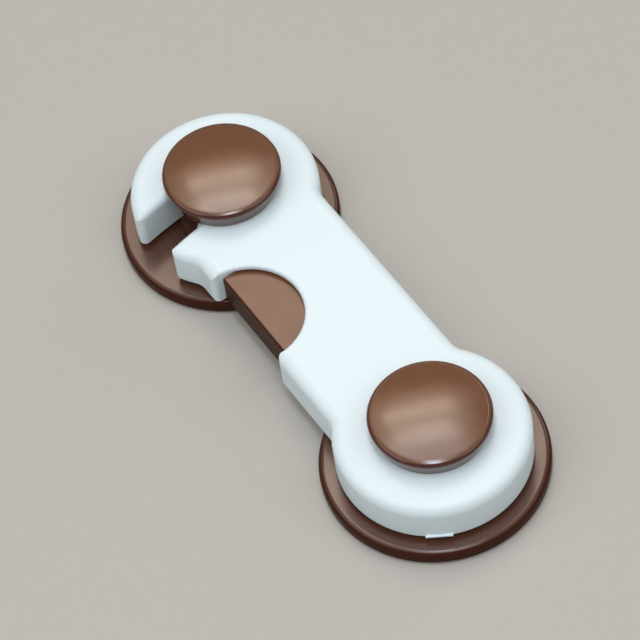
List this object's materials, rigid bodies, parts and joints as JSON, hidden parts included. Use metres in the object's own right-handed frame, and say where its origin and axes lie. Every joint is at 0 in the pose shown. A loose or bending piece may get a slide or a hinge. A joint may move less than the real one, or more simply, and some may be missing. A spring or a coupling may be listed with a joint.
{
  "type": "cabinet safety lock",
  "caption": "Child safety lock for cupboards: a bone-shaped arm with a hook turns on a stick-on round base, catches the post of its partner base and is freed by a push button.",
  "frame": {"origin": "pivot post's axis at the furniture surface, which is the underside of the adhesive pads", "axes": "+Y from the pivot post to the catch post, +Z away from the furniture, mouth of the hook and button on the -X side"},
  "size_m": [0.038, 0.0995, 0.0165],
  "materials": {
    "base_abs": "brown moulded ABS, satin gloss",
    "cap_abs": "brown moulded ABS, satin gloss",
    "button_abs": "brown moulded ABS, satin gloss",
    "shell_abs": "cool white moulded ABS, soft gloss",
    "plate_abs": "cool white moulded ABS, soft gloss",
    "bolt_acetal": "natural acetal",
    "screw_steel": "zinc-plated steel",
    "spring_steel": "drawn spring wire",
    "pad_foam": "closed-cell foam tape, matt"
  },
  "bodies": {
    "bases": {"pivot_base": "base_abs", "pivot_pad": "pad_foam", "pivot_cap": "cap_abs", "pivot_screw": "screw_steel", "catch_base": "base_abs", "catch_pad": "pad_foam", "catch_cap": "cap_abs", "catch_screw": "screw_steel"},
    "arm": {"arm_shell": "shell_abs", "arm_back_plate": "plate_abs", "arm_screws": "screw_steel", "button_spring": "spring_steel", "bolt_spring": "spring_steel"},
    "button": {"release_button": "button_abs"},
    "bolt": {"latch_bolt": "bolt_acetal"}
  },
  "joints": [
    {"name": "arm_swing", "type": "hinge", "parent": "bases", "child": "arm", "pos_m": [0, 0, 0.008], "axis": [0, 0, -1], "range_deg": [0, 340]},
    {"name": "button_press", "type": "slide", "parent": "arm", "child": "button", "axis": [1, 0, 0], "range_m": [0, 0.0032], "stiffness_N_per_m": 400, "springref_m": -0.004, "deforming": ["button_spring"]},
    {"name": "bolt_slide", "type": "slide", "parent": "arm", "child": "bolt", "axis": [0, -1, 0], "range_m": [0, 0.0032], "stiffness_N_per_m": 400, "springref_m": -0.004, "deforming": ["bolt_spring"]}
  ],
  "couplings": [
    {"joint": "bolt_slide", "follows": "button_press", "ratio": 1}
  ]
}
